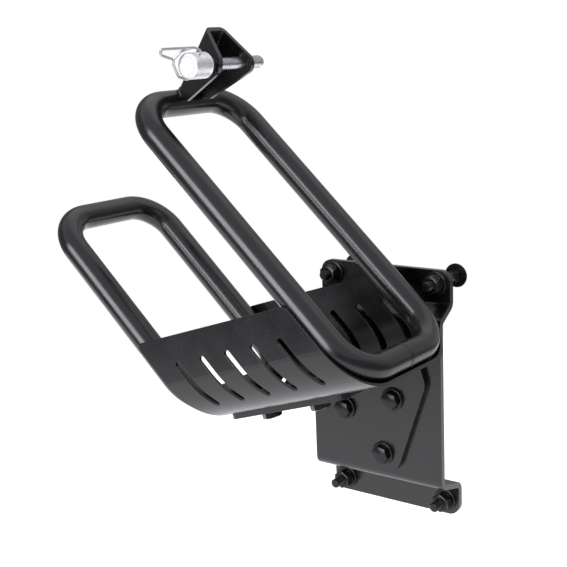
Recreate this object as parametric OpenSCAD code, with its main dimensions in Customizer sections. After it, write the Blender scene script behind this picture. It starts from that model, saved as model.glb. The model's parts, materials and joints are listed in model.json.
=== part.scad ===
// Bolt-on step: a bent mounting plate, an L bracket, and a slotted tread slung between two tube hoops,
// with a flared clevis and a lock pin at the top of the long hoop.
// The origin is the centre of the four-bolt pattern, on the rear face of the plate's lower flange.
// +X runs along the plate, +Y points into the vehicle, +Z is up.

/* [Mounting plate] */
// Width of the plate, ears and lower flange
plate_w = 152; // [140:1:170]
// Thickness of the plate
plate_t = 6; // [5:0.5:8]
// How far the ears stand back from the plate's face
ear_setback = 21; // [16:1:26]
// How far the lower flange stands back from the plate's face
flange_setback = 35; // [30:1:40]
// Radius of the plate's outer corners
plate_corner_r = 12; // [8:1:14]

/* [Bolt pattern] */
// Distance between the left and right mounting bolts
bolt_span_x = 121; // [115:1:124]
// Distance between the upper and lower mounting bolts
bolt_span_z = 231; // [229:1:233]
// How far the heads of the upper bolts stand off the ears
panel_gap = 34; // [26:1:40]

/* [Hoops] */
// Outer diameter of the hoop tube
tube_d = 25.4; // [24:0.1:26]
// Width of both hoops, leg centre to leg centre
hoop_w = 140; // [134:1:146]
// Length of the long hoop, bar centre to bar centre
long_hoop_l = 330; // [300:1:340]
// Length of the short hoop, bar centre to bar centre
short_hoop_l = 245; // [215:1:255]
// Bend radius of the hoop corners, on the tube's centre line
hoop_bend_r = 38; // [34:1:42]
// How far the hoops lean back from upright, in degrees
hoop_lean = 46.9; // [45:0.1:49]

/* [Tread] */
// Distance between the planes of the two hoops, along the tread
tread_l = 192; // [186:1:198]
// Thickness of the tread sheet
sheet_t = 3; // [2:0.5:4]
// Height of the tread walls above the axes of the lower bars
wall_h = 74.5; // [68:0.5:80]
// Inner radius of the bends between the floor and the walls
tread_bend_r = 44; // [42:1:45]
// How far the tread climbs towards the long hoop, in degrees
tread_rise = 17.6; // [16:0.1:19]
// Number of slots in each wall
slot_count = 5; // [3:1:5]
// Distance between slot centres
slot_pitch = 31.9; // [28:0.1:33]
// Width of a slot
slot_w = 7; // [5:0.5:9]

/* [Bracket] */
// Thickness of the bracket
bracket_t = 6; // [5:0.5:7]
// Width of the bracket and its shelf
bracket_w = 144; // [138:1:146]
// How far the shelf reaches out from the plate
shelf_l = 133; // [128:1:138]
// Distance between the two upper bracket bolts, and between the shelf bolts along the tread
bracket_bolt_span = 60; // [54:1:64]

/* [Clevis and lock pin] */
// Thickness of the clevis plate
clevis_t = 4.5; // [4:0.5:5]
// Width of the clevis across its web
clevis_w = 26; // [24:1:28]
// How far each ear flares outwards, in degrees
ear_flare = 17; // [15:0.5:18]
// Diameter of the lock pin
pin_d = 12; // [11.6:0.1:12.4]
// Diameter of the pin's barrel head
barrel_d = 24.4; // [23:0.1:25]
// Diameter of the clip wire
wire_d = 2.6; // [2.2:0.1:2.8]

/* [Hidden] */
$fn = 64;

black = [0.06, 0.06, 0.07];
zinc = [0.85, 0.86, 0.88];

tube_r = tube_d / 2;
weld_gap = 0.2;
plate_bend_r = 7;
// Heights on the plate, from its lower bend
top_z = 219;
upper_bolt_z = 206;
lower_bolt_z = upper_bolt_z - bolt_span_z;
ear_fold_z = 184.8;
body_fold_z = 171.4;
web_front_z = 2.3;
web_rear_z = -6.7;
flange_end_z = -40;
// The row frame: the plate's face lies in front of the lower flange's rear face
face_y = -(flange_setback + plate_t);
base_z = -(upper_bolt_z + lower_bolt_z) / 2;

// Fastener sizes: M10 throughout
bolt_r = 5;
hole_r = 5.5;
nut_af = 17;
nut_h = 8.4;
head_h = 6.6;
washer_r = 12;
washer_t = 2.5;
lock_washer_r = 9;
carriage_head_r = 12.3;
carriage_head_h = 5.4;
square_neck = 10;
square_hole = 10.4;

// Long hoop's lower bar, measured from the plate's face and lower bend
bar_x = 87.9;
bar_z = 163.5;
near_leg_y = -162;
hoop_mid_y = near_leg_y + hoop_w / 2;
tread_slope_gap = tube_r + weld_gap;
floor_n = -(tread_slope_gap + sheet_t);
// Bracket centre line, along the tread from the long hoop's plane
bracket_w0 = -112.8;
bracket_bolt_n = -51.8;
bracket_low_bolt_n = -104.4;
shelf_bolt_y = [-118.5, -65.5];

// Pin axis, measured like the bar, and the tilt of the clevis from upright
pin_x = -95;
pin_z = 425;
clevis_tilt = 34.8;
web_v = -31.7;
pin_clear = 0.08;
nose_r = 11.5;
// Stations along the pin, from the middle of the hoops
collar_end_y = -25.4;
barrel_end_y = -33.2;
barrel_face_y = -57;
clip_y = -47;
pin_seat_y = -42;
pin_tip_y = 50;
collar_r = 7.5;
// Swing of the clip away from the pin's axis at rest, and how far its arms stand off that axis
clip_swing = 38;
clip_reach = 15.9;
wire_bend_r = 2.6;
clip_clear = 0.08;

function unit(v) = v / norm(v);
function turn_left(v) = [-v[1], v[0]];
function polar(r, a) = [r * cos(a), r * sin(a)];
function angle_of(v) = atan2(v[1], v[0]);

// Points of one bend at p, between a and b, offset to the left of the path by off
function bend(a, p, b, r, off, steps) =
    let (u = unit(a - p), v = unit(b - p), half = acos(u * v) / 2)
    let (c = p + unit(u + v) * r / sin(half), s = cross(p - a, b - p) > 0 ? 1 : -1)
    let (from = angle_of(-s * turn_left(-u)), sweep = s * (180 - 2 * half))
    [for (i = [0 : steps]) c + polar(r - s * off, from + sweep * i / steps)];

// One side of a bent strip whose mid-line is path
function strip_side(path, r, off, steps) =
    let (last = len(path) - 1)
    concat([path[0] + turn_left(unit(path[1] - path[0])) * off],
           [for (i = [1 : last - 1]) each bend(path[i - 1], path[i], path[i + 1], r, off, steps)],
           [path[last] + turn_left(unit(path[last] - path[last - 1])) * off]);

function reversed(list) = [for (i = [len(list) - 1 : -1 : 0]) list[i]];

// Sheet of thickness t bent along path in the YZ plane, and width wide along X
module bent_strip(path, t, r, width, steps = 12)
    rotate([90, 0, 90])
        linear_extrude(height = width, center = true)
            polygon(concat(strip_side(path, r, t / 2, steps), reversed(strip_side(path, r, -t / 2, steps))));

// Touch points of the straight line along the right of two circles, seen from c1 to c2
function right_tangent(c1, r1, c2, r2) =
    let (d = c2 - c1, tilt = asin((r1 - r2) / norm(d)), a = angle_of(d) - 90 + tilt)
    [c1 + polar(r1, a), c2 + polar(r2, a)];

module rounded_rect(w, h, r) {
    square([w - 2 * r, h], center = true);
    square([w, h - 2 * r], center = true);
    for (x = [-1, 1], y = [-1, 1])
        translate([x * (w / 2 - r), y * (h / 2 - r)])
            circle(r);
}

// Frames. from_plate: origin on the plate's face at its lower bend.
module from_plate()
    translate([0, face_y, base_z])
        children();

// in_tread: origin on the long hoop's lower bar at its middle, X along the tread, Z square to its floor
module in_tread()
    from_plate()
        translate([bar_x, 0, bar_z])
            rotate([0, -tread_rise, 0])
                children();

// in_hoop: origin on a lower bar's axis at distance w along the tread, Z up the hoop's legs
module in_hoop(w)
    in_tread()
        translate([w, 0, 0])
            rotate([0, tread_rise - hoop_lean, 0])
                children();

// in_clevis: origin on the pin axis at the middle of the hoops, Z along the web, X towards the nose
module in_clevis()
    from_plate()
        translate([pin_x, hoop_mid_y, pin_z])
            rotate([0, clevis_tilt, 0])
                children();

// Solid of revolution along Y, from y0 to y1
module rod(r, y0, y1)
    translate([0, y0, 0])
        rotate([-90, 0, 0])
            cylinder(r = r, h = y1 - y0);

module cone_rod(r0, r1, y0, y1)
    translate([0, y0, 0])
        rotate([-90, 0, 0])
            cylinder(r1 = r0, r2 = r1, h = y1 - y0);

module hex_rod(af, y0, y1)
    translate([0, y0, 0])
        rotate([-90, 30, 0])
            cylinder(r = af / sqrt(3), h = y1 - y0, $fn = 6);

module ring(r_out, r_in, y0, y1)
    difference() {
        rod(r_out, y0, y1);
        rod(r_in, y0 - 1, y1 + 1);
    }

module nut(y0)
    difference() {
        intersection() {
            hex_rod(nut_af, y0, y0 + nut_h);
            union() {
                cone_rod(nut_af / 2 - 0.4, nut_af / 2 + 2.1, y0, y0 + 1.5);
                rod(nut_af / 2 + 2.1, y0 + 1.5, y0 + nut_h);
            }
        }
        rod(bolt_r, y0 - 1, y0 + nut_h + 1);
    }

// Split spring washer
module lock_washer(y0)
    difference() {
        ring(lock_washer_r, bolt_r + 0.2, y0, y0 + washer_t);
        rotate([0, 35, 0])
            translate([0, y0 - 1, -0.6])
                cube([lock_washer_r + 1, washer_t + 2, 1.2]);
    }

module flat_washer(y0)
    ring(washer_r, bolt_r + 0.3, y0, y0 + washer_t);

// Round-headed bolt with a square neck: head underside at y1, thread end at y0
module carriage_bolt(y0, y1) {
    dome_r = (carriage_head_r * carriage_head_r + carriage_head_h * carriage_head_h) / (2 * carriage_head_h);
    rod(bolt_r, y0 + 1, y1 + 1);
    cone_rod(bolt_r - 1, bolt_r, y0, y0 + 1);
    translate([-square_neck / 2, y1 - 5.5, -square_neck / 2])
        cube([square_neck, 6, square_neck]);
    rod(carriage_head_r, y1, y1 + 1.2);
    intersection() {
        rod(carriage_head_r, y1, y1 + carriage_head_h + 1);
        translate([0, y1 + carriage_head_h - dome_r, 0])
            sphere(dome_r);
        rod(carriage_head_r + 1, y1 + 1.2, y1 + carriage_head_h + 1);
    }
}

// Hex bolt along Y: head from y0 - head_h to y0, shank end at y1
module hex_bolt(y0, y1) {
    intersection() {
        hex_rod(nut_af, y0 - head_h, y0);
        union() {
            cone_rod(nut_af / 2 - 0.4, nut_af / 2 + 2.1, y0 - head_h, y0 - head_h + 1.5);
            rod(nut_af / 2 + 2.1, y0 - head_h + 1.5, y0);
        }
    }
    rod(bolt_r, y0 - 1, y1 - 1);
    cone_rod(bolt_r, bolt_r - 1, y1 - 1, y1);
}

module at_upper_bolts()
    from_plate()
        for (s = [-1, 1])
            translate([s * bolt_span_x / 2, 0, upper_bolt_z])
                children();

module at_lower_bolts()
    from_plate()
        for (s = [-1, 1])
            translate([s * bolt_span_x / 2, 0, lower_bolt_z])
                children();

module at_bracket_bolts()
    in_tread()
        for (p = [[-1, bracket_bolt_n], [1, bracket_bolt_n], [0, bracket_low_bolt_n]])
            translate([bracket_w0 + p[0] * bracket_bolt_span / 2, 0, p[1]])
                children();

// Local +Y points up through the shelf, with its origin on the tread floor's upper face
module at_shelf_bolts()
    in_tread()
        for (s = [-1, 1], y = shelf_bolt_y)
            translate([bracket_w0 + s * bracket_bolt_span / 2, y, -tread_slope_gap])
                rotate([90, 0, 0])
                    children();

module base_plate() {
    path = [[ear_setback, top_z], [ear_setback, ear_fold_z], [0, body_fold_z], [0, web_front_z],
            [flange_setback, web_rear_z], [flange_setback, flange_end_z]];
    mid = [for (p = path) p + [plate_t / 2, 0]];
    color(black)
        difference() {
            intersection() {
                from_plate()
                    bent_strip(mid, plate_t, plate_bend_r, plate_w);
                from_plate()
                    translate([0, 60, (top_z + flange_end_z) / 2])
                        rotate([90, 0, 0])
                            linear_extrude(height = 80)
                                rounded_rect(plate_w, top_z - flange_end_z, plate_corner_r);
            }
            at_upper_bolts()
                rod(hole_r, ear_setback - 5, ear_setback + plate_t + 5);
            at_lower_bolts()
                translate([-square_hole / 2, flange_setback - 5, -square_hole / 2])
                    cube([square_hole, plate_t + 10, square_hole]);
            at_bracket_bolts()
                rod(hole_r, -5, plate_t + 5);
        }
}

// Outline of the bracket's upright leg: two shoulders above a round lobe at the lowest bolt
module bracket_outline() {
    lobe_r = 21;
    shoulder_r = 20;
    shoulder = [bracket_w / 2 - shoulder_r, -37.8];
    top_n = floor_n - bracket_t - plate_bend_r;
    side = right_tangent([0, bracket_low_bolt_n], lobe_r, shoulder, shoulder_r);
    right = [side[0], side[1], shoulder, [bracket_w / 2, shoulder[1]], [bracket_w / 2, top_n]];
    polygon(concat([[0, bracket_low_bolt_n]], right, reversed([for (p = right) [-p[0], p[1]]])));
    translate([0, bracket_low_bolt_n])
        circle(lobe_r);
    for (s = [-1, 1])
        translate([s * shoulder[0], shoulder[1]])
            circle(shoulder_r);
}

module support_bracket() {
    corner_r = 9;
    fold_n = floor_n - bracket_t / 2;
    path = [[-bracket_t / 2, fold_n - 18], [-bracket_t / 2, fold_n], [-shelf_l, fold_n]];
    color(black)
        difference() {
            union() {
                in_tread()
                    translate([bracket_w0, 0, 0])
                        rotate([90, 0, 0])
                            linear_extrude(height = bracket_t)
                                bracket_outline();
                in_tread()
                    translate([bracket_w0, 0, 0])
                        intersection() {
                            bent_strip(path, bracket_t, 8, bracket_w);
                            translate([0, -shelf_l / 2 + 20, -60])
                                linear_extrude(height = 80)
                                    rounded_rect(bracket_w, shelf_l + 40, corner_r);
                        }
            }
            at_bracket_bolts()
                rod(hole_r, -bracket_t - 5, 5);
            at_shelf_bolts()
                rod(hole_r, -sheet_t - bracket_t - 5, 5);
        }
}

// Slot cut through both walls, along the hoop legs, at distance w along the tread
module tread_slot(w) {
    slot_low = 3.5;
    slot_high = 52.5;
    in_hoop(w) {
        translate([-slot_w / 2, -200, slot_low])
            cube([slot_w, 220, slot_high - slot_low]);
        for (z = [slot_low, slot_high])
            translate([0, 0, z])
                rod(slot_w / 2, -200, 20);
    }
}

// Cutter that rounds one top corner of both walls. Its edges run along the tread and along the legs.
module wall_corner_cutter(w, s, r) {
    lean = tread_rise - hoop_lean;
    corner = [w - wall_h * tan(-lean), wall_h];
    leg = unit([sin(lean), cos(lean)]) * -1;
    edge = [-s, 0];
    half = acos(leg * edge) / 2;
    centre = corner + unit(leg + edge) * r / sin(half);
    in_tread()
        translate([0, 40, 0])
            rotate([90, 0, 0])
                linear_extrude(height = 260)
                    difference() {
                        polygon([corner + unit(leg + edge) * -3, corner + leg * r / tan(half), centre,
                                 corner + edge * r / tan(half)]);
                        translate(centre)
                            circle(r);
                    }
}

module tread() {
    inner = hoop_w / 2 + tread_slope_gap;
    mid_y = inner + sheet_t / 2;
    mid_n = floor_n + sheet_t / 2;
    path = [[-mid_y, wall_h], [-mid_y, mid_n], [mid_y, mid_n], [mid_y, wall_h]];
    color(black)
        difference() {
            in_tread()
                translate([-tread_l / 2, hoop_mid_y, 0])
                    bent_strip(path, sheet_t, tread_bend_r + sheet_t / 2, tread_l + 160, 20);
            in_hoop(0)
                translate([0, -250, -150])
                    cube([200, 300, 400]);
            in_hoop(-tread_l)
                translate([-200, -250, -150])
                    cube([200, 300, 400]);
            for (i = [0 : slot_count - 1])
                tread_slot(-tread_l / 2 + (i - (slot_count - 1) / 2) * slot_pitch);
            wall_corner_cutter(0, 1, 9);
            wall_corner_cutter(-tread_l, -1, 5);
            at_shelf_bolts()
                rod(hole_r, -sheet_t - 5, 5);
        }
}

// Closed loop of round tube in the YZ plane, its lower bar on the origin
module tube_loop(length) {
    y0 = hoop_w / 2 - hoop_bend_r;
    translate([0, hoop_mid_y, 0]) {
        for (z = [0, length])
            translate([0, 0, z])
                rod(tube_r, -y0, y0);
        for (s = [-1, 1])
            translate([0, s * hoop_w / 2, hoop_bend_r])
                cylinder(r = tube_r, h = length - 2 * hoop_bend_r);
        for (c = [[y0, hoop_bend_r, 270], [y0, length - hoop_bend_r, 0],
                  [-y0, length - hoop_bend_r, 90], [-y0, hoop_bend_r, 180]])
            translate([0, c[0], c[1]])
                rotate([90, 0, 90])
                    rotate([0, 0, c[2]])
                        rotate_extrude(angle = 90)
                            translate([hoop_bend_r, 0])
                                circle(tube_r);
    }
}

module long_hoop()
    color(black)
        in_hoop(0)
            tube_loop(long_hoop_l);

module short_hoop()
    color(black)
        in_hoop(-tread_l)
            tube_loop(short_hoop_l);

// Side outline of the clevis: x from the web's back face towards the nose, y along the web
module ear_outline() {
    nose = [-web_v, 0];
    top = [0, 19.3];
    foot = [20, -49];
    heel = [0, -56];
    lower = right_tangent(foot, 0, nose, nose_r)[1];
    upper = right_tangent(nose, nose_r, top, 0)[0];
    polygon([[-2, top[1]], [-2, heel[1]], heel, foot, lower, nose, upper, top]);
    translate(nose)
        circle(nose_r);
}

// The clevis from above: a U with flared sides
module ear_profile() {
    mid_x = web_v + clevis_t / 2;
    corner_y = clevis_w / 2 - clevis_t / 2 * (1 / cos(ear_flare) - tan(ear_flare));
    tip = [60, corner_y + (60 - mid_x) * tan(ear_flare)];
    path = [[tip[0], -tip[1]], [mid_x, -corner_y], [mid_x, corner_y], tip];
    bend_r = 3 + clevis_t / 2;
    outer = strip_side(path, bend_r, clevis_t / 2, 8);
    inner = strip_side(path, bend_r, -clevis_t / 2, 8);
    polygon(concat(outer, reversed(inner)));
}

module clevis() {
    color(black)
        difference() {
            in_clevis()
                intersection() {
                    translate([0, 0, -70])
                        linear_extrude(height = 110)
                            ear_profile();
                    translate([web_v, 50, 0])
                        rotate([90, 0, 0])
                            linear_extrude(height = 100)
                                ear_outline();
                }
            in_clevis()
                rod(pin_d / 2 + pin_clear, -40, 40);
            in_hoop(0)
                translate([0, hoop_mid_y, long_hoop_l])
                    rod(tube_r + weld_gap, -40, 40);
        }
}

module lock_pin()
    color(zinc)
        in_clevis() {
            rod(pin_d / 2, pin_seat_y, pin_tip_y - 4);
            cone_rod(pin_d / 2, pin_d / 2 - 1.8, pin_tip_y - 4, pin_tip_y);
        }

module pin_collar()
    color(zinc)
        in_clevis()
            ring(collar_r, pin_d / 2, barrel_end_y, collar_end_y);

// Barrel with a blind bore for the pin and a cross hole for the clip wire
module pin_barrel()
    color(zinc)
        in_clevis()
            difference() {
                union() {
                    cone_rod(barrel_d / 2 - 1.5, barrel_d / 2, barrel_face_y, barrel_face_y + 1.5);
                    rod(barrel_d / 2, barrel_face_y + 1.5, barrel_end_y - 1.5);
                    cone_rod(barrel_d / 2, barrel_d / 2 - 1.5, barrel_end_y - 1.5, barrel_end_y);
                }
                rod(pin_d / 2, pin_seat_y, barrel_end_y + 1);
                translate([0, clip_y, -barrel_d])
                    cylinder(r = wire_d / 2 + clip_clear, h = 2 * barrel_d);
            }

// Clip wire bent along a path of [distance out, height] points
module wire(path, size)
    rotate([0, 0, -90])
        bent_strip(path, size, wire_bend_r, size, 8);

// Spring-wire clip: a cross rod in the barrel, two arms round its face, and a finger loop beyond their neck
module wire_clip() {
    edge = barrel_d / 2 + 0.4;
    loop = [[0, -edge], [0, -clip_reach], [9.5, -15.6], [18, -6.5], [20.4, -1], [33, -0.8], [34.6, 4.6],
            [7, clip_reach + 0.7], [0, clip_reach], [0, edge]];
    upper_arm = [[9.2, 15.8], [17, 8.5], [20.2, -0.9]];
    color(zinc)
        in_clevis()
            translate([0, clip_y, 0])
                rotate([0, 0, 270 - clip_swing]) {
                    translate([0, 0, -edge - 1])
                        cylinder(r = wire_d / 2, h = 2 * edge + 2);
                    wire(loop, wire_d - 0.2);
                    wire(upper_arm, wire_d - 0.4);
                }
}

// Upper mounting bolts, from the front: thread end, nut, lock washer, flat washer, ear
module upper_bolts()
    color(black)
        at_upper_bolts()
            carriage_bolt(1, ear_setback + plate_t + panel_gap);

module upper_washers()
    color(black)
        at_upper_bolts()
            flat_washer(ear_setback - washer_t);

module upper_lock_washers()
    color(black)
        at_upper_bolts()
            lock_washer(ear_setback - 2 * washer_t);

module upper_nuts()
    color(black)
        at_upper_bolts()
            nut(ear_setback - 2 * washer_t - nut_h);

// Lower mounting bolts, with their heads tight against the flange
module lower_bolts()
    color(black)
        at_lower_bolts()
            carriage_bolt(9, flange_setback + plate_t);

module lower_washers()
    color(black)
        at_lower_bolts()
            flat_washer(flange_setback - washer_t);

module lower_lock_washers()
    color(black)
        at_lower_bolts()
            lock_washer(flange_setback - 2 * washer_t);

module lower_nuts()
    color(black)
        at_lower_bolts()
            nut(flange_setback - 2 * washer_t - nut_h);

// Bracket bolts, with their heads in front of the bracket and their nuts behind the plate
module bracket_bolts()
    color(black)
        at_bracket_bolts()
            hex_bolt(-bracket_t - washer_t, plate_t + 2 * washer_t + nut_h + 3);

module bracket_washers()
    color(black)
        at_bracket_bolts()
            flat_washer(-bracket_t - washer_t);

module bracket_rear_washers()
    color(black)
        at_bracket_bolts()
            flat_washer(plate_t);

module bracket_lock_washers()
    color(black)
        at_bracket_bolts()
            lock_washer(plate_t + washer_t);

module bracket_nuts()
    color(black)
        at_bracket_bolts()
            nut(plate_t + 2 * washer_t);

// Shelf bolts, with their heads under the shelf and their nuts on the tread floor
module shelf_bolts()
    color(black)
        at_shelf_bolts()
            hex_bolt(-sheet_t - bracket_t, washer_t + nut_h + 2);

module shelf_washers()
    color(black)
        at_shelf_bolts()
            flat_washer(0);

module shelf_nuts()
    color(black)
        at_shelf_bolts()
            nut(washer_t);

base_plate();
support_bracket();
tread();
long_hoop();
short_hoop();
clevis();
lock_pin();
pin_collar();
pin_barrel();
wire_clip();
upper_bolts();
upper_washers();
upper_lock_washers();
upper_nuts();
lower_bolts();
lower_washers();
lower_lock_washers();
lower_nuts();
bracket_bolts();
bracket_washers();
bracket_rear_washers();
bracket_lock_washers();
bracket_nuts();
shelf_bolts();
shelf_washers();
shelf_nuts();
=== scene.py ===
import json
import math

import bpy
import numpy as np
from mathutils import Matrix, Vector


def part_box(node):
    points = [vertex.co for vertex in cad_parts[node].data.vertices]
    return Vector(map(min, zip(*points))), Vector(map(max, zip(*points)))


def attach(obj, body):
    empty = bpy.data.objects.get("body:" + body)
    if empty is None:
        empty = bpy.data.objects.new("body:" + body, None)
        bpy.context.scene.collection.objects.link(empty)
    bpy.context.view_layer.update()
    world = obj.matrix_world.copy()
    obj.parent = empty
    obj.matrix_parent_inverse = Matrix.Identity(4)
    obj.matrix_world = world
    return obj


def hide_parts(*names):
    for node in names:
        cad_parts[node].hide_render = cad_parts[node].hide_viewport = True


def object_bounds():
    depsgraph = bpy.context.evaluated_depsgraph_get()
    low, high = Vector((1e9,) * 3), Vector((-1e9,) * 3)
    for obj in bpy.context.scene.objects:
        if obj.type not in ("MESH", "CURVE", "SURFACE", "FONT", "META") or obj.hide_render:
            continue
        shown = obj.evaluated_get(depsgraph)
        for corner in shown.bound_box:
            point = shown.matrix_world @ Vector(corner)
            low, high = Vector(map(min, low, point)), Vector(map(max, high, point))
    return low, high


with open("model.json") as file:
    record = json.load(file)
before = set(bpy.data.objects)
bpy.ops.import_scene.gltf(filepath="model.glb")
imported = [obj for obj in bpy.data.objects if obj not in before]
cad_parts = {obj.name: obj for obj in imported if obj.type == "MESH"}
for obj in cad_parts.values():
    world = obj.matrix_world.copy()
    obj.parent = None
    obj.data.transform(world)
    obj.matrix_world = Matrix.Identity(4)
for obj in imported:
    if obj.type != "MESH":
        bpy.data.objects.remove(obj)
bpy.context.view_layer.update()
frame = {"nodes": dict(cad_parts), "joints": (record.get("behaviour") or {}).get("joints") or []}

MM = 0.001
TREAD_RISE = math.radians(17.6)
HOOP_LEAN = math.radians(46.9)
CLEVIS_TILT = math.radians(34.8)
CLIP_SWING = math.radians(38.0)
TUBE_R = 12.7 * MM
HOOP_BEND_R = 38 * MM
SEAM_HALF_WIDTH = 4 * MM
SEAM_DEPTH = 0.6 * MM
# M10 hardware
BOLT_R = 4.96 * MM
BOLT_END_R = 3.9 * MM
THREAD_PITCH = 1.5 * MM
THREAD_DEPTH = 0.75 * MM
HEX_APOTHEM = 8.5 * MM
NUT_HOLE_R = 4.98 * MM
WASHER_R, WASHER_HOLE_R = 12.0 * MM, 5.3 * MM
LOCK_WASHER_R, LOCK_WASHER_HOLE_R = 8.98 * MM, 5.22 * MM
# keeps turned shapes inside the CAD's own faces
INSET = 0.01 * MM

UP_TREAD = np.array([-math.sin(TREAD_RISE), 0, math.cos(TREAD_RISE)])
ALONG_TREAD = np.array([math.cos(TREAD_RISE), 0, math.sin(TREAD_RISE)])
UP_HOOP = np.array([-math.sin(HOOP_LEAN), 0, math.cos(HOOP_LEAN)])
UP_CLEVIS = np.array([math.sin(CLEVIS_TILT), 0, math.cos(CLEVIS_TILT)])
OUT_CLEVIS = np.array([math.cos(CLEVIS_TILT), 0, -math.sin(CLEVIS_TILT)])
X, Y, Z = np.eye(3)


# ---------------------------------------------------------------- the frame's own shapes

def welded(node):
    """The node's vertices with doubles merged, and its faces on them."""
    mesh = frame["nodes"][node].data
    co = np.array([v.co for v in mesh.vertices])
    keys, first, back = np.unique(np.round(co, 7), axis=0, return_index=True, return_inverse=True)
    back = back.ravel()
    return co[first], [[int(back[i]) for i in p.vertices] for p in mesh.polygons]


def islands(node):
    """The points of each separate solid of a node, in order of x, then z."""
    co, faces = welded(node)
    parent = list(range(len(co)))

    def root(i):
        while parent[i] != i:
            parent[i] = parent[parent[i]]
            i = parent[i]
        return i

    for f in faces:
        for i in f[1:]:
            parent[root(i)] = root(f[0])
    groups = {}
    for i in range(len(co)):
        groups.setdefault(root(i), []).append(i)
    found = [co[g] for g in groups.values()]
    return sorted(found, key=lambda p: (round(p[:, 0].mean(), 3), round(p[:, 2].mean(), 3)))


class Station:
    """One turned or hexagonal solid: its axis line, and points measured along and around it."""

    def __init__(self, points, axis):
        self.axis = np.array(axis, float)
        side = X if abs(self.axis[0]) < 0.7 else Y
        self.u = side - self.axis * (side @ self.axis)
        self.u /= np.linalg.norm(self.u)
        self.v = np.cross(self.axis, self.u)
        a, b = points @ self.u, points @ self.v
        t = points @ self.axis
        self.o = self.u * (a.max() + a.min()) / 2 + self.v * (b.max() + b.min()) / 2
        a, b = a - self.o @ self.u, b - self.o @ self.v
        self.t, self.r = t, np.hypot(a, b)
        self.t0, self.t1, self.radius = t.min(), t.max(), self.r.max()
        far = int(np.argmax(self.r))
        self.corner = math.atan2(b[far], a[far])

    def at(self, t, r, angle):
        return self.o + self.axis * t + (self.u * math.cos(angle) + self.v * math.sin(angle)) * r


# ---------------------------------------------------------------- mesh makers

def add(name, verts, faces, body, material, sharp=35.0, nodes=()):
    mesh = bpy.data.meshes.new(name)
    mesh.from_pydata([tuple(map(float, v)) for v in verts], [], faces)
    mesh.validate()
    mesh.update()
    obj = bpy.data.objects.new(name, mesh)
    bpy.context.scene.collection.objects.link(obj)
    mesh.polygons.foreach_set("use_smooth", [True] * len(mesh.polygons))
    mesh.set_sharp_from_angle(angle=math.radians(sharp))
    mesh.materials.append(material)
    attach(obj, body)
    if nodes:
        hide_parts(*nodes)


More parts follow.
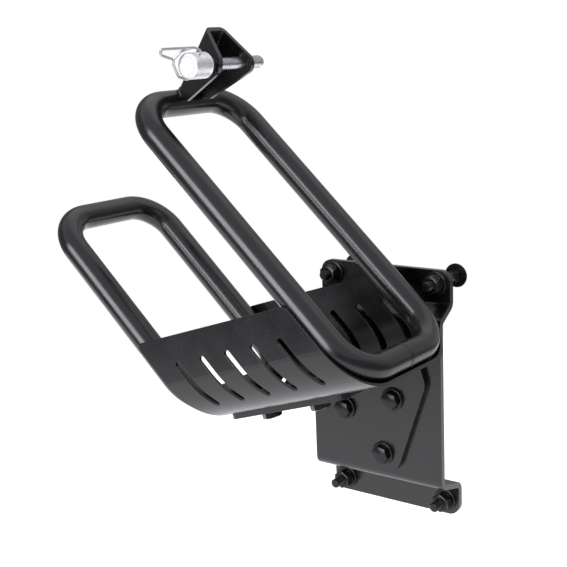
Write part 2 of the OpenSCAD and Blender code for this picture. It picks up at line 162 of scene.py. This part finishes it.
class Shape:
    """Vertices and faces gathered from several makers."""

    def __init__(self):
        self.verts, self.faces = [], []

    def put(self, verts, faces):
        n = len(self.verts)
        self.verts.extend(verts)
        self.faces.extend([[i + n for i in f] for f in faces])

    def lathe(self, s, profile, n=64, radius=None):
        """Closed solid of revolution. profile lists (t, r) from the low end's centre to the high end's."""
        verts, faces = [s.at(profile[0][0], 0, 0)], []
        rings = profile[1:-1]
        for t, r in rings:
            for i in range(n):
                a = 2 * math.pi * i / n
                verts.append(s.at(t, r if radius is None else radius(t, r, a), a))
        verts.append(s.at(profile[-1][0], 0, 0))
        last = len(verts) - 1
        for i in range(n):
            j = (i + 1) % n
            faces.append([0, 1 + j, 1 + i])
            for k in range(len(rings) - 1):
                a, b = 1 + k * n, 1 + (k + 1) * n
                faces.append([a + i, a + j, b + j, b + i])
            a = 1 + (len(rings) - 1) * n
            faces.append([a + i, a + j, last])
        self.put(verts, faces)

    def ring(self, s, profile, n=64, start=0.0, end=2 * math.pi, lift=0.0):
        """Ring with a closed section (t, r), or a split ring between two angles whose end is lifted."""
        whole = abs(end - start - 2 * math.pi) < 1e-9
        m, verts, faces = len(profile), [], []
        steps = n if whole else n + 1
        for i in range(steps):
            f = i / n
            a = start + (end - start) * f
            verts.extend(s.at(t + lift * (f - 0.5), r, a) for t, r in profile)
        for i in range(n):
            j = (i + 1) % steps
            for k in range(m):
                l = (k + 1) % m
                faces.append([i * m + k, j * m + k, j * m + l, i * m + l])
        if not whole:
            faces.append(list(range(m))[::-1])
            faces.append([n * m + k for k in range(m)])
        self.put(verts, faces)

    def hexagon(self, s, t0, t1, apothem, corner, low=True, high=True, hole=0.0, n=96):
        """Hexagon prism with turned chamfers on the chosen faces, and a countersunk hole if hole is given."""
        slope = math.tan(math.radians(29))
        flat_r = apothem * 0.94
        verts, faces = [], []

        def wall(i):
            phi = (math.degrees(2 * math.pi * i / n) % 60.0) - 30.0
            return apothem / math.cos(math.radians(phi))

        rings = []
        if hole:
            rings.append([(t0 + 0.7 * MM, hole)] * n)
            rings.append([(t0, hole + 0.7 * MM)] * n)
        rings.append([(t0, flat_r if low else apothem * 0.99)] * n)
        for edge in (0, 1):
            row = []
            for i in range(n):
                w = wall(i)
                cut = max(0.0, (w - flat_r) * slope)
                t = (t0 + (cut if low else 0.0)) if edge == 0 else (t1 - (cut if high else 0.0))
                row.append((t, w))
            rings.append(row)
        rings.append([(t1, flat_r if high else apothem * 0.99)] * n)
        if hole:
            rings.append([(t1, hole + 0.7 * MM)] * n)
            rings.append([(t1 - 0.7 * MM, hole)] * n)
        for row in rings:
            for i, (t, r) in enumerate(row):
                verts.append(s.at(t, r, corner + 2 * math.pi * i / n))
        for k in range(len(rings) - 1):
            for i in range(n):
                j = (i + 1) % n
                faces.append([k * n + i, k * n + j, (k + 1) * n + j, (k + 1) * n + i])
        top = (len(rings) - 1) * n
        if hole:
            for i in range(n):
                j = (i + 1) % n
                faces.append([top + i, top + j, j, i])
        else:
            c0, c1 = len(verts), len(verts) + 1
            verts.extend([s.at(t0, 0, 0), s.at(t1, 0, 0)])
            for i in range(n):
                j = (i + 1) % n
                faces.append([c0, j, i])
                faces.append([top + i, top + j, c1])
        self.put(verts, faces)

    def sweep(self, path, radius, n=32, closed=False, normal=Y, squash=1.0):
        """Round bar along a path in the plane square to normal. radius is a number or a list, one a point."""
        path = [np.array(p, float) for p in path]
        m = len(path)
        verts, faces = [], []
        for i, p in enumerate(path):
            a = path[i - 1] if (i or closed) else path[0]
            b = path[(i + 1) % m] if (i < m - 1 or closed) else path[-1]
            d = (b - a) / np.linalg.norm(b - a)
            side = np.cross(normal, d)
            side /= np.linalg.norm(side)
            up = np.cross(d, side)
            r = radius if np.isscalar(radius) else radius[i]
            for k in range(n):
                q = 2 * math.pi * k / n
                verts.append(p + side * r * math.cos(q) + up * r * squash * math.sin(q))
        for i in range(m if closed else m - 1):
            j = (i + 1) % m
            for k in range(n):
                l = (k + 1) % n
                faces.append([i * n + k, i * n + l, j * n + l, j * n + k])
        if not closed:
            c0, c1 = len(verts), len(verts) + 1
            verts.extend([path[0], path[-1]])
            for k in range(n):
                l = (k + 1) % n
                faces.append([c0, l, k])
                faces.append([(m - 1) * n + k, (m - 1) * n + l, c1])
        self.put(verts, faces)


def corners(path, r, steps=10):
    """path (lists of 2 numbers) with each inner corner turned into an arc of radius r."""
    out = [np.array(path[0], float)]
    for a, p, b in zip(path, path[1:], path[2:]):
        a, p, b = (np.array(q, float) for q in (a, p, b))
        u, v = (a - p) / np.linalg.norm(a - p), (b - p) / np.linalg.norm(b - p)
        half = math.acos(max(-1, min(1, u @ v))) / 2
        c = p + (u + v) / np.linalg.norm(u + v) * r / math.sin(half)
        s, e = p + u * r / math.tan(half) - c, p + v * r / math.tan(half) - c
        turn = math.atan2(s[0] * e[1] - s[1] * e[0], s @ e)
        for i in range(steps + 1):
            q = turn * i / steps
            out.append(c + np.array([s[0] * math.cos(q) - s[1] * math.sin(q),
                                     s[0] * math.sin(q) + s[1] * math.cos(q)]))
    out.append(np.array(path[-1], float))
    return out


# ---------------------------------------------------------------- materials

class Nodes:
    """Short-hand for a material's node tree."""

    def __init__(self, name):
        self.material = bpy.data.materials.new(name)
        self.material.use_nodes = True
        self.tree = self.material.node_tree
        self.tree.nodes.clear()
        self.out = self.new("ShaderNodeOutputMaterial")
        self.bsdf = self.new("ShaderNodeBsdfPrincipled")
        self.link(self.bsdf.outputs[0], self.out.inputs["Surface"])
        self.place = self.new("ShaderNodeTexCoord").outputs["Object"]

    def new(self, kind, **values):
        node = self.tree.nodes.new(kind)
        for k, v in values.items():
            setattr(node, k, v)
        return node

    def link(self, a, b):
        self.tree.links.new(a, b)

    def noise(self, scale, detail=3.0, rough=0.55, stretch=None):
        where = self.place
        if stretch:
            mapping = self.new("ShaderNodeMapping")
            mapping.inputs["Scale"].default_value = stretch
            self.link(where, mapping.inputs["Vector"])
            where = mapping.outputs[0]
        node = self.new("ShaderNodeTexNoise")
        node.inputs["Scale"].default_value = scale
        node.inputs["Detail"].default_value = detail
        node.inputs["Roughness"].default_value = rough
        self.link(where, node.inputs["Vector"])
        return node.outputs["Fac"]

    def ramp(self, fac, low, high, a, b):
        node = self.new("ShaderNodeMapRange")
        node.inputs["From Min"].default_value = low
        node.inputs["From Max"].default_value = high
        node.inputs["To Min"].default_value = a
        node.inputs["To Max"].default_value = b
        self.link(fac, node.inputs["Value"])
        return node.outputs[0]

    def maths(self, op, a, b):
        node = self.new("ShaderNodeMath", operation=op)
        for i, v in enumerate((a, b)):
            if isinstance(v, (int, float)):
                node.inputs[i].default_value = v
            else:
                self.link(v, node.inputs[i])
        return node.outputs[0]

    def mix(self, fac, a, b):
        node = self.new("ShaderNodeMix", data_type="RGBA")
        for i, v in ((0, fac), (6, a), (7, b)):
            if isinstance(v, (int, float, tuple)):
                node.inputs[i].default_value = v
            else:
                self.link(v, node.inputs[i])
        return node.outputs[2]

    def edge(self, radius):
        """0 on flat metal, rising on edges that the bevel rounds off."""
        bevel = self.new("ShaderNodeBevel", samples=4)
        bevel.inputs["Radius"].default_value = radius
        shape = self.new("ShaderNodeNewGeometry")
        dot = self.new("ShaderNodeVectorMath", operation="DOT_PRODUCT")
        self.link(bevel.outputs[0], dot.inputs[0])
        self.link(shape.outputs["Normal"], dot.inputs[1])
        return self.ramp(dot.outputs["Value"], 0.995, 0.9, 0.0, 1.0), bevel.outputs[0]

    def bump(self, height, distance, strength=1.0, normal=None):
        node = self.new("ShaderNodeBump")
        node.inputs["Strength"].default_value = strength
        node.inputs["Distance"].default_value = distance
        self.link(height, node.inputs["Height"])
        if normal is not None:
            self.link(normal, node.inputs["Normal"])
        return node.outputs[0]


def powder_coat(name, satin, edges=True):
    """Semi-gloss black powder. Turned and bent round stock has no edges to wear or round off."""
    m = Nodes(name)
    edge, round_normal = m.edge(0.0009) if edges else (m.ramp(m.noise(60, 3), 0.7, 0.9, 0.0, 0.4), None)
    flow = m.noise(38, 4)
    peel = m.noise(620, 2, 0.45)
    grit = m.noise(2600, 2, 0.5)
    scuff = m.noise(320, 5, 0.6, (1, 0.25, 1))
    worn = m.maths("MULTIPLY", edge, m.ramp(m.noise(140, 5, 0.7), 0.5, 0.68, 0.0, 1.0))
    tone = m.mix(m.ramp(flow, 0.3, 0.7, 0.0, 1.0), (0.0036, 0.0036, 0.0042, 1), (0.0058, 0.0058, 0.0067, 1))
    m.link(m.mix(m.maths("MULTIPLY", worn, 0.5), tone, (0.07, 0.068, 0.068, 1)), m.bsdf.inputs["Base Color"])
    rough = m.maths("ADD", m.ramp(flow, 0.3, 0.7, *satin), m.ramp(scuff, 0.56, 0.8, 0.0, 0.12))
    rough = m.maths("ADD", rough, m.maths("MULTIPLY", worn, 0.16))
    m.link(rough, m.bsdf.inputs["Roughness"])
    m.bsdf.inputs["IOR"].default_value = 1.52
    m.bsdf.inputs["Coat Weight"].default_value = 0.12
    m.bsdf.inputs["Coat Roughness"].default_value = 0.16
    low = m.bump(peel, 0.00003, 0.22, round_normal)
    m.link(m.bump(grit, 0.000003, 0.1, low), m.bsdf.inputs["Normal"])
    return m.material


def black_plating(name):
    m = Nodes(name)
    edge, round_normal = m.edge(0.00045)
    blotch = m.noise(170, 4)
    grain = m.noise(1500, 4, 0.6)
    worn = m.maths("MULTIPLY", edge, m.ramp(m.noise(420, 4, 0.7), 0.45, 0.7, 0.0, 1.0))
    tone = m.mix(m.ramp(blotch, 0.3, 0.7, 0.0, 1.0), (0.006, 0.006, 0.007, 1), (0.012, 0.012, 0.0135, 1))
    m.link(m.mix(m.maths("MULTIPLY", worn, 0.7), tone, (0.16, 0.155, 0.15, 1)), m.bsdf.inputs["Base Color"])
    m.link(m.ramp(m.maths("ADD", blotch, m.maths("MULTIPLY", grain, 0.4)), 0.4, 1.0, 0.16, 0.34),
           m.bsdf.inputs["Roughness"])
    m.bsdf.inputs["Metallic"].default_value = 0.2
    m.bsdf.inputs["Specular IOR Level"].default_value = 0.42
    m.link(m.bump(grain, 0.00003, 0.5, round_normal), m.bsdf.inputs["Normal"])
    return m.material


def zinc(name, grain_stretch, rough=(0.2, 0.36), tint=(0.80, 0.81, 0.83)):
    m = Nodes(name)
    edge, round_normal = m.edge(0.0005)
    cloud = m.noise(210, 4)
    lines = m.noise(900, 3, 0.6, grain_stretch)
    spots = m.noise(1400, 5, 0.7)
    a = tuple(c * 0.80 for c in tint) + (1,)
    tone = m.mix(m.ramp(cloud, 0.35, 0.7, 0.0, 1.0), tint + (1,), a)
    tone = m.mix(m.ramp(spots, 0.66, 0.78, 0.0, 0.2), tone, (0.5, 0.49, 0.47, 1))
    m.link(m.mix(m.maths("MULTIPLY", edge, 0.3), tone, (0.92, 0.92, 0.93, 1)), m.bsdf.inputs["Base Color"])
    m.link(m.ramp(m.maths("ADD", m.maths("MULTIPLY", lines, 0.6), m.maths("MULTIPLY", cloud, 0.4)),
                  0.3, 0.7, *rough), m.bsdf.inputs["Roughness"])
    m.bsdf.inputs["Metallic"].default_value = 1.0
    m.link(m.bump(lines, 0.00001, 0.35, round_normal), m.bsdf.inputs["Normal"])
    return m.material


def studio_floor(name):
    m = Nodes(name)
    m.link(m.mix(m.ramp(m.noise(2.2, 3), 0.3, 0.7, 0.0, 1.0), (0.86, 0.86, 0.865, 1), (0.88, 0.88, 0.885, 1)),
           m.bsdf.inputs["Base Color"])
    m.link(m.ramp(m.noise(30, 3), 0.3, 0.7, 0.75, 0.85), m.bsdf.inputs["Roughness"])
    m.bsdf.inputs["Emission Color"].default_value = (1, 1, 1, 1)
    m.bsdf.inputs["Emission Strength"].default_value = 0.6
    return m.material


coat = powder_coat("black_coat_look", (0.2, 0.27))
tube_coat = powder_coat("black_tube_look", (0.23, 0.3), edges=False)
plating = black_plating("black_hardware_look")
pin_zinc = zinc("zinc_pin_look", (0.15, 1, 0.15), (0.2, 0.34), (0.56, 0.55, 0.60))
barrel_zinc = zinc("zinc_barrel_look", (0.1, 1, 0.1), (0.42, 0.55), (0.96, 0.97, 0.98))
wire_zinc = zinc("spring_wire_look", (1, 0.3, 1), (0.16, 0.28), (0.5, 0.5, 0.52))


# ---------------------------------------------------------------- bent plates and sheet: the CAD's own shapes

for node in ("base_plate", "support_bracket", "tread", "clevis"):
    obj = frame["nodes"][node]
    obj.data.materials.clear()
    obj.data.materials.append(coat)


# ---------------------------------------------------------------- hoops

def hoop(node):
    """Closed loop of tube, with a groove on each side of the butt weld in its lower bar."""
    low, high = (np.array(c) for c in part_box(node))
    centre = (low + high) / 2
    half_w = (high[1] - low[1]) / 2 - TUBE_R
    half_l = ((high[0] - low[0]) - 2 * TUBE_R) / math.sin(HOOP_LEAN) / 2
    outline = [(0, -half_l), (half_w, -half_l), (half_w, half_l),
               (-half_w, half_l), (-half_w, -half_l), (0, -half_l)]
    flat = corners(outline, HOOP_BEND_R, 20)

    def at_seam(p):
        return abs(p[1] + half_l) < 1e-6 and abs(p[0]) < SEAM_HALF_WIDTH

    dense = []
    for a, b in zip(flat, flat[1:]):
        steps = max(1, int(round(np.linalg.norm(b - a) / (12 * MM))))
        dense.extend(a + (b - a) * i / steps for i in range(steps))
    fine = [np.array([x * MM, -half_l]) for x in np.arange(-3.5, 3.51, 0.25)]
    dense = fine + [p for p in dense if not at_seam(p)]
    radii = []
    for p in dense:
        groove = math.exp(-((abs(p[0]) / MM - 1.7) / 0.5) ** 2) if at_seam(p) else 0.0
        radii.append(TUBE_R - SEAM_DEPTH * groove)
    path = [centre + Y * p[0] + UP_HOOP * p[1] for p in dense]
    shape = Shape()
    shape.sweep(path, radii, 56, closed=True, normal=np.cross(Y, UP_HOOP))
    add(node + "_tube", shape.verts, shape.faces, "step", tube_coat, nodes=[node])


hoop("long_hoop")
hoop("short_hoop")


# ---------------------------------------------------------------- weld beads

def beads():
    """Weld beads: two runs from each hoop's lower bar to the tread, and three round the clevis."""
    shape = Shape()
    ripple = 2.1 * MM
    hoop_bead_r, back_bead_r, ear_bead_r = 2.1 * MM, 1.9 * MM, 1.7 * MM
    foot_along, foot_down = 9.6 * MM, 11.4 * MM

    def bead(points, r, normal):
        points = [np.array(p) for p in points]
        dense = [points[0]]
        for a, b in zip(points, points[1:]):
            steps = max(1, int(np.linalg.norm(b - a) / (0.35 * MM)))
            dense.extend(a + (b - a) * (i + 1) / steps for i in range(steps))
        run, radii = 0.0, []
        whole = sum(np.linalg.norm(b - a) for a, b in zip(dense, dense[1:]))
        for i, p in enumerate(dense):
            run += np.linalg.norm(p - dense[i - 1]) if i else 0.0
            ends = min(1.0, 0.45 + min(run, whole - run) / (2.5 * MM))
            radii.append(r * ends * (1 + 0.09 * math.cos(2 * math.pi * run / ripple)))
        shape.sweep(dense, radii, 20, normal=normal)

    for node, inward in (("long_hoop", -1), ("short_hoop", 1)):
        low, high = (np.array(c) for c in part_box(node))
        centre = (low + high) / 2
        half_l = ((high[0] - low[0]) - 2 * TUBE_R) / math.sin(HOOP_LEAN) / 2
        bar = centre - UP_HOOP * half_l
        root = bar + ALONG_TREAD * inward * foot_along - UP_TREAD * foot_down
        for y0, y1 in ((-31, -7), (7, 31)):
            bead([root + Y * y0 * MM, root + Y * y1 * MM], hoop_bead_r, UP_TREAD)
        if node == "long_hoop":
            top = centre + UP_HOOP * half_l
    web_x = -4.6 * MM
    reach = TUBE_R + 0.7 * MM
    rise = math.sqrt(reach ** 2 - web_x ** 2)
    back = top + OUT_CLEVIS * (web_x - 0.9 * MM) + UP_CLEVIS * (rise + 0.3 * MM)
    bead([back - Y * 9 * MM, back + Y * 9 * MM], back_bead_r, UP_CLEVIS)
    for side in (-1, 1):
        path = []
        for q in np.linspace(math.radians(-16), math.radians(31), 9):
            x, z = reach * math.sin(q), reach * math.cos(q)
            y = 13.2 * MM + (x - web_x) * math.tan(math.radians(17))
            path.append(top + OUT_CLEVIS * x + UP_CLEVIS * z + Y * side * y)
        bead(path, ear_bead_r, Y)
    add("weld_beads", shape.verts, shape.faces, "step", tube_coat, sharp=60)


beads()

# ---------------------------------------------------------------- fasteners

def thread(s, t_low, t_high):
    """Radius function for a thread between two stations."""
    def radius(t, r, a):
        if r < 4.3 * MM or not t_low <= t <= t_high:
            return r
        phase = ((t - t_low) / THREAD_PITCH - a / (2 * math.pi)) % 1.0
        wave = min(abs(phase - 0.5) * 2.6, 1.0)
        fade = min(1.0, (t - t_low) / THREAD_PITCH, (t_high - t) / THREAD_PITCH)
        return r - THREAD_DEPTH * wave * max(0.0, fade)
    return radius


def along(t_a, t_b, r, step=0.14 * MM):
    n = max(1, int(abs(t_b - t_a) / step))
    return [(t_a + (t_b - t_a) * i / n, r) for i in range(n + 1)]


def carriage_bolts(node, thread_mm):
    shape = Shape()
    for points in islands(node):
        s = Station(points, Y)
        head_r = s.radius
        seat = s.t[s.r > head_r - 0.2 * MM].min()
        t0, t1 = s.t0, s.t1
        r = BOLT_R
        end = t0 + thread_mm * MM
        profile = [(t0, 0), (t0, BOLT_END_R), (t0 + 0.9 * MM, 4.9 * MM)]
        profile += along(t0 + 1.0 * MM, end, r)
        profile += [(end + 0.3 * MM, r), (seat - 5.5 * MM, r), (seat - 0.1 * MM, r)]
        profile += [(seat, r), (seat, head_r - 0.35 * MM), (seat + 0.25 * MM, head_r - 0.05 * MM),
                    (seat + 0.8 * MM, head_r - 0.02 * MM), (seat + 1.25 * MM, head_r - 0.3 * MM)]
        rise = t1 - seat - 1.2 * MM
        big = (head_r ** 2 + rise ** 2) / (2 * rise)
        for q in np.linspace(0.93, 0.04, 16):
            rr = head_r * q
            profile.append((t1 - big + math.sqrt(big ** 2 - rr ** 2), rr))
        profile.append((t1, 0))
        shape.lathe(s, profile, 48, thread(s, t0 + 0.6 * MM, end))
        neck = 4.95 * MM
        verts, faces = [], []
        rows = [(seat - 5.4 * MM, neck - 0.5 * MM), (seat - 4.9 * MM, neck), (seat + 0.3 * MM, neck)]
        for t, h in rows:
            for du, dv in ((-1, -1), (1, -1), (1, 1), (-1, 1)):
                verts.append(s.o + s.axis * t + X * du * h + Z * dv * h)
        for k in range(2):
            for i in range(4):
                j = (i + 1) % 4
                faces.append([k * 4 + i, k * 4 + j, (k + 1) * 4 + j, (k + 1) * 4 + i])
        faces += [[3, 2, 1, 0], [8, 9, 10, 11]]
        shape.put(verts, faces)
    add(node + "_threaded", shape.verts, shape.faces, "step", plating, nodes=[node])


def hex_bolts(node, axis, thread_mm):
    """Hexagon bolts whose heads are at the low end of the axis."""
    shape = Shape()
    for points in islands(node):
        s = Station(points, axis)
        seat = s.t[s.r > 7 * MM].max()
        t1 = s.t1
        shape.hexagon(s, s.t0, seat, HEX_APOTHEM, s.corner, high=False)
        shape.lathe(s, [(s.t0, 0), (s.t0 + 0.001 * MM, 0.1 * MM), (s.t0 + 0.5 * MM, 4.4 * MM),
                        (seat - 0.05 * MM, 4.9 * MM), (seat + 0.4 * MM, BOLT_R)]
                    + along(t1 - thread_mm * MM, t1 - 1 * MM, BOLT_R)
                    + [(t1 - 0.9 * MM, 4.9 * MM), (t1, BOLT_END_R), (t1, 0)],
                    48, thread(s, t1 - thread_mm * MM, t1 - 0.6 * MM))
    add(node + "_threaded", shape.verts, shape.faces, "step", plating, nodes=[node])


def nuts(node, axis):
    shape = Shape()
    for points in islands(node):
        s = Station(points, axis)
        shape.hexagon(s, s.t0, s.t1, HEX_APOTHEM, s.corner, hole=NUT_HOLE_R)
    add(node + "_chamfered", shape.verts, shape.faces, "step", plating, nodes=[node])


def washers(node, axis):
    shape = Shape()
    e = 0.35 * MM
    for points in islands(node):
        s = Station(points, axis)
        a, b, ro, ri = s.t0, s.t1, WASHER_R, WASHER_HOLE_R
        profile = [(a, ri + e), (a, ro - e), (a + e * 0.3, ro - e * 0.3), (a + e, ro),
                   (b - e, ro), (b - e * 0.3, ro - e * 0.3), (b, ro - e), (b, ri + e),
                   (b - e, ri), (a + e, ri)]
        shape.ring(s, profile, 72)
    add(node + "_rounded", shape.verts, shape.faces, "step", plating,
        sharp=50, nodes=[node])


def lock_washers(node, axis):
    shape = Shape()
    e = 0.2 * MM
    for points in islands(node):
        s = Station(points, axis)
        a, b, ro, ri = s.t0 + 0.12 * MM, s.t1 - 0.12 * MM, LOCK_WASHER_R, LOCK_WASHER_HOLE_R
        profile = [(a, ri + e), (a, ro - e), (a + e, ro), (b - e, ro),
                   (b, ro - e), (b, ri + e), (b - e, ri), (a + e, ri)]
        gap = math.asin(0.6 / 7.2)
        mid = math.radians(-35)
        shape.ring(s, profile, 56, mid + gap, mid + 2 * math.pi - gap, lift=0.2 * MM)
    add(node + "_split", shape.verts, shape.faces, "step", plating, nodes=[node])


carriage_bolts("upper_bolts", 22)
carriage_bolts("lower_bolts", 20)
hex_bolts("bracket_bolts", Y, 20)
hex_bolts("shelf_bolts", UP_TREAD, 16)
for group, way in (("upper", Y), ("lower", Y), ("bracket", Y), ("shelf", UP_TREAD)):
    nuts(group + "_nuts", way)
    washers(group + "_washers", way)
    if group != "shelf":
        lock_washers(group + "_lock_washers", way)
washers("bracket_rear_washers", Y)


# ---------------------------------------------------------------- lock pin, collar, barrel and clip

def turned(node, name, profile, material, n=96):
    """profile(s) gives the (t, r) outline for the node's own station."""
    s = Station(islands(node)[0], Y)
    shape = Shape()
    shape.lathe(s, profile(s), n)
    add(name, shape.verts, shape.faces, "pin", material, nodes=[node])


def pin_profile(s):
    r, e = s.radius - INSET, 0.5 * MM
    a, b = s.t0, s.t1
    return [(a, 0), (a, r - e), (a + e, r), (b - 4.6 * MM, r), (b - 4.1 * MM, r - 0.12 * MM),
            (b - 0.9 * MM, r - 1.55 * MM), (b - 0.3 * MM, r - 2.0 * MM), (b, r - 2.7 * MM), (b, 0)]


def barrel_profile(s):
    r = s.radius - INSET
    a, b = s.t0, s.t1
    return [(a + 0.5 * MM, 0), (a + 0.5 * MM, r - 4.2 * MM), (a + 0.05 * MM, r - 3.6 * MM), (a, r - 1.9 * MM),
            (a + 0.25 * MM, r - 1.1 * MM), (a + 0.8 * MM, r - 0.45 * MM), (a + 1.6 * MM, r - 0.05 * MM),
            (a + 2.2 * MM, r), (b - 2.2 * MM, r), (b - 1.6 * MM, r - 0.05 * MM),
            (b - 0.8 * MM, r - 0.45 * MM), (b - 0.25 * MM, r - 1.1 * MM), (b, r - 1.9 * MM),
            (b, 6.2 * MM), (b, 0)]


turned("lock_pin", "lock_pin_turned", pin_profile, pin_zinc)
turned("pin_barrel", "pin_barrel_turned", barrel_profile, barrel_zinc)

collar = Station(islands("pin_collar")[0], Y)
shape = Shape()
e, ro, ri = 0.5 * MM, collar.radius - INSET, 6.02 * MM
shape.ring(collar, [(collar.t0, ri), (collar.t0, ro - e), (collar.t0 + e * 0.3, ro - e * 0.3),
                    (collar.t0 + e, ro), (collar.t1 - e, ro), (collar.t1 - e * 0.3, ro - e * 0.3),
                    (collar.t1, ro - e), (collar.t1, ri)], 96)
add("pin_collar_turned", shape.verts, shape.faces, "pin", pin_zinc, nodes=["pin_collar"])

WIRE_R = 1.19 * MM
CLIP_REACH, CLIP_BEND = 15.9, 2.6
hinge = next(j for j in frame["joints"] if j["name"] == "clip_hinge")
pivot = np.array(hinge["pos_m"])
out = -Y * math.cos(CLIP_SWING) - OUT_CLEVIS * math.sin(CLIP_SWING)
out_of_plane = np.cross(out, UP_CLEVIS)


def clip_points(path):
    return [pivot + out * p[0] * MM + UP_CLEVIS * p[1] * MM for p in path]


shape = Shape()
loop = corners([(0, 0), (0, -CLIP_REACH), (9.5, -15.6), (18, -6.5), (20.4, -1), (33, -0.8), (34.6, 4.6),
                (7, CLIP_REACH + 0.7), (0, CLIP_REACH), (0, 0)], CLIP_BEND, 10)
shape.sweep(clip_points(loop[:-1]), WIRE_R, 24, closed=True, normal=out_of_plane)
arm = corners([(9.2, 15.8), (17, 8.5), (20.2, -0.9)], CLIP_BEND, 8)
shape.sweep(clip_points(arm), WIRE_R - 0.1 * MM, 24, normal=out_of_plane)
add("wire_clip_round", shape.verts, shape.faces, "clip", wire_zinc, nodes=["wire_clip"])


# ---------------------------------------------------------------- stage, light and camera

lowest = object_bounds()[0][2]
FLOOR_R, FLOOR_DROP = 2.5, 0.5
bpy.ops.mesh.primitive_circle_add(vertices=128, radius=FLOOR_R, fill_type="NGON",
                                  location=(0, 0, lowest - FLOOR_DROP))
floor = bpy.context.object
floor.name = "studio_floor"
floor.data.materials.append(studio_floor("studio_floor_look"))

world = bpy.data.worlds.new("studio")
bpy.context.scene.world = world
world.use_nodes = True
tree = world.node_tree
tree.nodes.clear()
backdrop, room = (tree.nodes.new("ShaderNodeBackground") for _ in range(2))
backdrop.inputs["Color"].default_value = (1, 1, 1, 1)
room.inputs["Color"].default_value = (0.935, 0.93, 1.0, 1)
room.inputs["Strength"].default_value = 0.24
blend = tree.nodes.new("ShaderNodeMixShader")
tree.links.new(tree.nodes.new("ShaderNodeLightPath").outputs["Is Camera Ray"], blend.inputs[0])
tree.links.new(room.outputs[0], blend.inputs[1])
tree.links.new(backdrop.outputs[0], blend.inputs[2])
tree.links.new(blend.outputs[0], tree.nodes.new("ShaderNodeOutputWorld").inputs["Surface"])


def far_light(name, towards, strength, spread, tint=(1, 1, 1)):
    """Large soft light far off in one direction."""
    data = bpy.data.lights.new(name, "SUN")
    data.energy, data.color, data.angle = strength, tint, math.radians(spread)
    lamp = bpy.data.objects.new(name, data)
    lamp.rotation_mode = "QUATERNION"
    lamp.rotation_quaternion = Vector(towards).to_track_quat("Z", "Y")
    lamp.location = Vector(towards) * 3
    bpy.context.scene.collection.objects.link(lamp)


far_light("key", (-0.19, -0.957, 0.22), 2.3, 36, (0.95, 0.95, 1.0))
far_light("top", (0.15, -0.2, 0.95), 1.4, 120, (0.955, 0.955, 1.0))
far_light("back", (0.05, 0.775, 0.6), 0.5, 90)

AZ, EL, ROLL = math.radians(37.55), math.radians(12.30), math.radians(2.49)
CAMERA_AT = (0.5917, -0.9554, 0.3541)
SENSOR_MM, LENS_MM = 36.0, 36.0 * 1116.9 / 567.0
ahead = np.array([-math.sin(AZ) * math.cos(EL), math.cos(AZ) * math.cos(EL), -math.sin(EL)])
right0 = np.array([math.cos(AZ), math.sin(AZ), 0.0])
down0 = np.cross(ahead, right0)
right = right0 * math.cos(ROLL) + down0 * math.sin(ROLL)
down = -right0 * math.sin(ROLL) + down0 * math.cos(ROLL)
data = bpy.data.cameras.new("camera")
data.sensor_width = SENSOR_MM
data.lens = LENS_MM
data.clip_start, data.clip_end = 0.05, 100.0
camera = bpy.data.objects.new("camera", data)
turn = [[right[i], -down[i], -ahead[i], CAMERA_AT[i]] for i in range(3)]
camera.matrix_world = Matrix(turn + [[0, 0, 0, 1]])
bpy.context.scene.collection.objects.link(camera)
bpy.context.scene.camera = camera
bpy.context.scene.view_settings.view_transform = "Standard"
bpy.context.scene.view_settings.look = "None"
